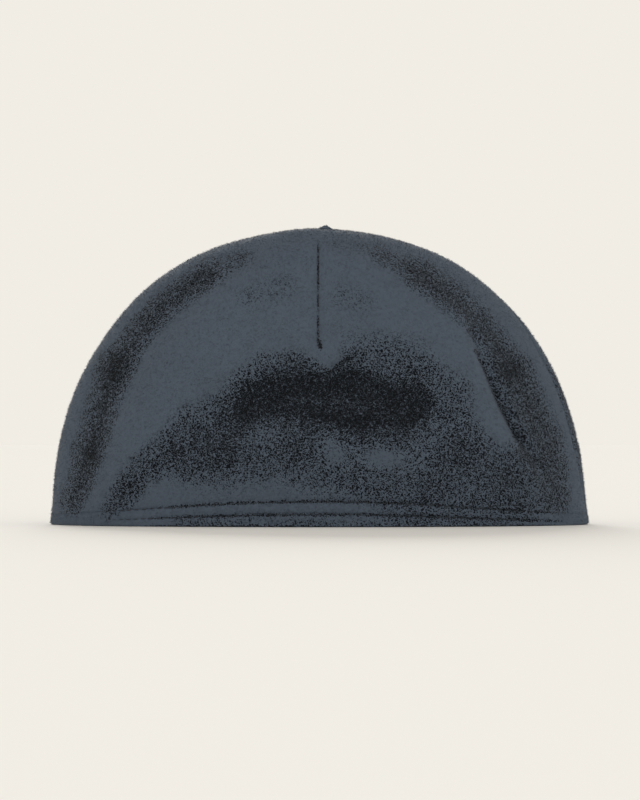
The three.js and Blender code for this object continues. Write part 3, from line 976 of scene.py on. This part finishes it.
def hemPiece(panel):
    spreads = crowded(hemCloth["columns"], hemCloth["crowding"])
    foot = footTurn(panel, spreads)
    band = hemHeight(foot)
    up = np.linspace(0, 1, hemCloth["outerRows"])[:, None]
    outer, _, mask = hemFace(panel, spreads, band * up ** hemCloth["rowCrowding"], 0)

    def ply(plies, heights):
        point, away = crownAt(panel, spreads, heights / hat["crownHeight"])
        depth = plies * hat["cloth"] + hemCloth["plyGap"]
        rise = foldRise(panel, point) - depth + hemCloth["plyRise"] * lumps(point, hemCloth["plyLump"])
        return pulledApart(panel, point + away * rise[..., None])

    inner = np.linspace(0, 1, hemCloth["innerRows"])[:, None]
    uneven = hemCloth["cutRise"] * lumps(outer[0] + hemCloth["cutShift"], hemCloth["cutLump"])
    turned = hem["turnUp"] + uneven
    rings = [
        outer,
        ply(1, band + (turned - band) * inner),
        ply(1.5, (turned + hemCloth["cutRound"])[None, :]),
        ply(2, turned - (turned - hemCloth["insideFrom"]) * inner),
    ]
    for plies, height in hemCloth["insideRim"]:
        rings.append(ply(plies, np.full((1, len(spreads)), height)))
    points = np.concatenate(rings)
    rows, columns = points.shape[:2]
    faces = gridFaces(columns, rows, turned=panel == "back")
    index = np.arange(rows * columns).reshape(rows, columns)
    closing = [index[-1, :-1], index[-1, 1:], index[0, 1:], index[0, :-1]]
    if panel == "back":
        closing.reverse()
    faces += np.stack(closing, axis=-1).reshape(-1, 4).tolist()
    ends = [index[:, 0].tolist(), index[:, -1].tolist()]
    ends[1 if panel == "front" else 0].reverse()
    faces += ends
    napAndShade = np.concatenate([mask.ravel(), np.full((rows - len(outer)) * columns, hemCloth["plyNap"])])
    made = makeMesh(f"{panel}_hem_cloth", points.reshape(-1, 3), faces, [hemFleece], mask=napAndShade)
    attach(made, "root")
    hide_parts(f"{panel}_hem")


for panel in ("front", "back"):
    hemPiece(panel)
print("hem turned up")


# Stitches

stitching = {
    "sides": 6,  # round the thread
    "rings": 5,  # along each stitch
    "endWidth": 0.7,  # the thread is this much of its width where it dips in
    "hem": {"length": 2.7, "skip": 0.7, "slant": (0, 0, 0), "radius": 0.24, "dive": 0.34},
    "hemSpan": 0.995,
    "upperDrop": 0.25,  # the upper row below the line where hem and panel meet
    "dart": {"length": 2.1, "skip": 0.6, "slant": (0.34, 0, 0), "radius": 0.2, "dive": 0.3},
    "dartSpan": (0.985, 0.5),  # from a share of the height to a little above the dart's end
    "dartDepth": 0.75,
    "seam": {"length": 2.8, "skip": 0.6, "slant": (0, 0.28, 0), "radius": 0.2, "dive": 0.25},
    "seamFrom": 0.02,
    "seamDepth": 0.25,
    "linePoints": {"hem": 900, "dart": 400, "seam": 500},
}


def stitchMesh(name, starts, ends, outs, kind):  # each stitch is a thread that dips in at both ends
    sides, rings = stitching["sides"], stitching["rings"]
    radius, dive, least = kind["radius"], kind["dive"], stitching["endWidth"]
    along = unit(ends - starts)
    across = unit(np.cross(outs, along))
    points, faces = [], []
    share = np.linspace(0, 1, rings)
    turn = np.arange(sides) * 2 * np.pi / sides
    one = tubeFaces(rings, sides)
    for k in range(len(starts)):
        base = k * rings * sides
        for t in share:
            arch = math.sin(math.pi * t)
            centre = starts[k] + (ends[k] - starts[k]) * t - outs[k] * dive * (1 - arch)
            width = radius * (least + (1 - least) * arch)
            for a in turn:
                points.append(centre + width * (math.cos(a) * across[k] + math.sin(a) * outs[k]))
        faces += [[v + base for v in face] for face in one]
    made = makeMesh(name, points, faces, [thread])
    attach(made, "root")


def sewLine(name, line, out, kind):  # cuts a line into stitches of one length
    stitch, skip, slant = kind["length"], kind["skip"], np.array(kind["slant"])
    length = np.concatenate([[0], np.cumsum(np.linalg.norm(np.diff(line, axis=0), axis=1))])
    starts = np.arange(skip, length[-1] - stitch, stitch + skip)

    def along(values, places):
        return np.stack([np.interp(places, length, values[:, axis]) for axis in range(3)], axis=1)

    outs = unit(along(out, starts + stitch / 2))
    stitchMesh(name, along(line, starts) - slant, along(line, starts + stitch) + slant, outs, kind)


def hemStitches(panel):
    span = stitching["hemSpan"]
    spreads = np.linspace(-span, span, stitching["linePoints"]["hem"])
    foot = footTurn(panel, spreads)
    sunk = 1 - smoothStep(hemArch(foot), *hem["threadSinksAt"])
    lift = hem["threadLift"] - hem["threadSinks"] * sunk
    upper, lower = hemHeight(foot) - stitching["upperDrop"], stitchHeight(foot)
    for row, heights in (("upper", upper), ("lower", lower)):
        line, out, _ = hemFace(panel, spreads, heights[None, :], lift)
        sewLine(f"{panel}_{row}_hem_stitches", line[0], out[0], stitching["hem"])


def dartStitches(panel):
    top, above = stitching["dartSpan"]
    ends = (hat["crownHeight"] * top, dart["endHeight"] + above)
    level = np.linspace(*ends, stitching["linePoints"]["dart"]) / hat["crownHeight"]
    middle = 0 if panel == "front" else 180
    bare, out = bareCrown(np.full_like(level, middle), level)
    bare[..., 0] += dart["offset"]
    rise = foldRise(panel, bare) - dart["rollDepth"] - stitching["dartDepth"]
    line = pulledApart(panel, bare + out * rise[..., None])
    sewLine(f"{panel}_dart_stitches", line, out, stitching["dart"])


def seamStitches():
    share = np.linspace(stitching["seamFrom"], 1, stitching["linePoints"]["seam"])
    level, turn = upAndOver(np.sin(share * np.pi / 2) ** (2 / hat["power"]))
    bare, out = bareCrown(turn, level)
    rise = knotRise(bare) - seam["rollDepth"] - stitching["seamDepth"]
    sewLine("crown_seam_stitches", bare + out * rise[..., None], out, stitching["seam"])


for panel in ("front", "back"):
    hemStitches(panel)
    dartStitches(panel)
seamStitches()
print("stitches sewn")


# Loose fibres over the nap

fuzz = {
    "panelFibres": 60000,
    "hemFibres": 5600,
    "length": (0.6, 1.3),
    "width": 0.15,
    "kneeWidth": 0.8,  # as a share of the root's
    "lean": 0.9,
    "leanFlat": 1.15,  # more where the mask of raised nap and painted shade is low
    "leanRaised": 0.5,  # and so much less where that mask is high
    "kneeLean": 0.6,
    "tipOut": 0.55,
    "tipSway": 0.5,
    "turn": 1.0,  # radians to either side of straight down
    "rootDepth": 0.1,
    "hemFrom": 0.12,  # share of the hem's height, which keeps the rim clean
    "hemRows": 12,
    "seed": 5,
}


def fibreMesh(name, roots, outs, mask, generator):
    count = len(roots)
    length = generator.uniform(*fuzz["length"], count)[:, None]
    straight = np.array([0.0, 0, -1])
    down = unit(straight - outs * (outs @ straight)[:, None])
    side = unit(np.cross(outs, down))
    angle = generator.normal(0, fuzz["turn"], count)[:, None]
    lie = down * np.cos(angle) + side * np.sin(angle)
    lean = fuzz["lean"] * (fuzz["leanFlat"] - fuzz["leanRaised"] * mask)[:, None]
    sway = side * generator.normal(0, fuzz["tipSway"], count)[:, None]
    first = unit(outs + lie * lean * fuzz["kneeLean"])
    second = unit(outs * fuzz["tipOut"] + lie * lean + sway)
    across = unit(np.cross(first, lie + 1e-6)) * fuzz["width"] / 2
    base = roots - outs * fuzz["rootDepth"]
    knee = base + first * length / 2
    tip = knee + second * length / 2
    half = across * fuzz["kneeWidth"]
    points = np.stack([base - across, base + across, knee - half, knee + half, tip], axis=1)
    size = points.shape[1]
    order = np.array([[0, 1, 3], [0, 3, 2], [2, 3, 4]])
    faces = (np.arange(count)[:, None, None] * size + order[None]).reshape(-1, 3).tolist()
    napAndShade = np.repeat(mask, size)
    made = makeMesh(name, points.reshape(-1, 3), faces, [fleece], mask=napAndShade, smooth=False)
    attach(made, "root")


def scatter(points, outs, mask, count, generator):  # places on a grid, by its area
    corner, right, above = points[:-1, :-1], points[:-1, 1:], points[1:, :-1]
    area = np.linalg.norm(np.cross(right - corner, above - corner), axis=-1).ravel()
    chosen = generator.choice(area.size, count, p=area / area.sum())
    row, column = np.divmod(chosen, corner.shape[1])
    u, v = generator.random(count)[:, None], generator.random(count)[:, None]
    place = (
        points[row, column] * (1 - u) * (1 - v)
        + points[row, column + 1] * u * (1 - v)
        + points[row + 1, column] * (1 - u) * v
        + points[row + 1, column + 1] * u * v
    )
    return place, outs[row, column], mask[row, column]


generator = np.random.default_rng(fuzz["seed"])
for panel in ("front", "back"):
    spreads = crowded(panelCloth["columns"], panelCloth["crowding"])
    outer, out, mask = outerFace(panel, spreads, np.linspace(0, 1, panelCloth["rows"]))
    roots, outs, napAndShade = scatter(outer, out, mask, fuzz["panelFibres"], generator)
    fibreMesh(f"{panel}_panel_fuzz", roots, outs, napAndShade, generator)
    spreads = crowded(hemCloth["columns"], hemCloth["crowding"])
    foot = footTurn(panel, spreads)
    heights = hemHeight(foot) * np.linspace(fuzz["hemFrom"], 1, fuzz["hemRows"])[:, None]
    outer, out, mask = hemFace(panel, spreads, heights, 0)
    roots, outs, napAndShade = scatter(outer, out, mask, fuzz["hemFibres"], generator)
    fibreMesh(f"{panel}_hem_fuzz", roots, outs, napAndShade, generator)
print("fibres raised")


# Floor, light and camera

studio = {
    "floorRings": (0.5, 3, 15, 60),  # metres, so that the edge is lost in the backdrop
    "floorSides": 64,
    "floorBelow": 0.0001,
    "backdrop": (0.879, 0.847, 0.783),
    "sky": (1.0, 0.985, 0.955),
    "skyStrength": 0.6,
    "keyStrength": 3.45,
    "keyFrom": (-0.08, 0.95, 0.309),  # low and from behind, so that the shadow falls forward
    "keySoftness": 28,
    "fillStrength": 0.95,
    "fillFrom": (0.1, -1, 0.12),
    "fillSoftness": 60,
}


def makeFloor():
    ring, rings = studio["floorSides"], studio["floorRings"]
    level = cadBox[0].z - studio["floorBelow"]
    points = [(0, 0, level)]
    for radius in rings:
        for i in range(ring):
            angle = 2 * math.pi * i / ring
            points.append((radius * math.cos(angle), radius * math.sin(angle), level))
    faces = [(0, 1 + i, 1 + (i + 1) % ring) for i in range(ring)]
    for band in range(len(rings) - 1):
        low, high = 1 + band * ring, 1 + (band + 1) * ring
        for i in range(ring):
            after = (i + 1) % ring
            faces.append((low + i, high + i, high + after, low + after))
    mesh = bpy.data.meshes.new("floor")
    mesh.from_pydata(points, [], faces)
    floor = bpy.data.objects.new("floor", mesh)
    bpy.context.scene.collection.objects.link(floor)
    material = bpy.data.materials.new("floor")
    material.use_nodes = True
    shader = material.node_tree.nodes["Principled BSDF"]
    setInputs(shader, {"Base Color": colours["floor"], "Roughness": 1, "Specular IOR Level": 0})
    mesh.materials.append(material)


def makeSky():
    world = bpy.data.worlds.new("studio")
    bpy.context.scene.world = world
    world.use_nodes = True
    tree = world.node_tree
    link = tree.links.new
    light = tree.nodes["Background"]
    setInputs(light, {"Color": (*studio["sky"], 1), "Strength": studio["skyStrength"]})
    seen = addNode(tree, "ShaderNodeBackground", (0, -200))
    seen.inputs["Color"].default_value = (*studio["backdrop"], 1)
    path = addNode(tree, "ShaderNodeLightPath", (0, 400))
    mix = addNode(tree, "ShaderNodeMixShader", (250, 100))
    link(path.outputs["Is Camera Ray"], mix.inputs["Fac"])
    link(light.outputs[0], mix.inputs[1])
    link(seen.outputs[0], mix.inputs[2])
    link(mix.outputs[0], tree.nodes["World Output"].inputs["Surface"])


def makeSun(name, strength, source, softness):
    lamp = bpy.data.lights.new(name, "SUN")
    lamp.energy = strength
    lamp.angle = math.radians(softness)
    sun = bpy.data.objects.new(name, lamp)
    sun.rotation_euler = Vector(source).to_track_quat("Z", "Y").to_euler()
    bpy.context.scene.collection.objects.link(sun)


makeFloor()
makeSky()
makeSun("key", studio["keyStrength"], studio["keyFrom"], studio["keySoftness"])
makeSun("fill", studio["fillStrength"], studio["fillFrom"], studio["fillSoftness"])

view = {
    "height": 0.035,  # metres above the floor, so that the rim looks straight
    "distance": 1.8,
    "framePixels": (640, 800),
    "hatPixels": 537,  # the photograph's hat is this wide
    "middlePixel": 319.5,
    "floorPixel": 524,
    "sensor": 36,
    "clipEnd": 200,
}


def makeCamera():
    pixel = (cadBox[1].x - cadBox[0].x) / view["hatPixels"]
    wide, high = view["framePixels"]
    camera = bpy.data.cameras.new("camera")
    camera.sensor_width = view["sensor"]
    camera.lens = view["sensor"] * view["distance"] / (high * pixel)
    camera.clip_end = view["clipEnd"]
    aim = Vector(((wide / 2 - view["middlePixel"]) * pixel, 0, (view["floorPixel"] - high / 2) * pixel))
    holder = bpy.data.objects.new("camera", camera)
    holder.location = (aim.x, -view["distance"], view["height"])
    holder.rotation_euler = (holder.location - aim).to_track_quat("Z", "Y").to_euler()
    bpy.context.scene.collection.objects.link(holder)
    bpy.context.scene.camera = holder


makeCamera()
bpy.context.scene.view_settings.view_transform = "Standard"
print("studio ready")
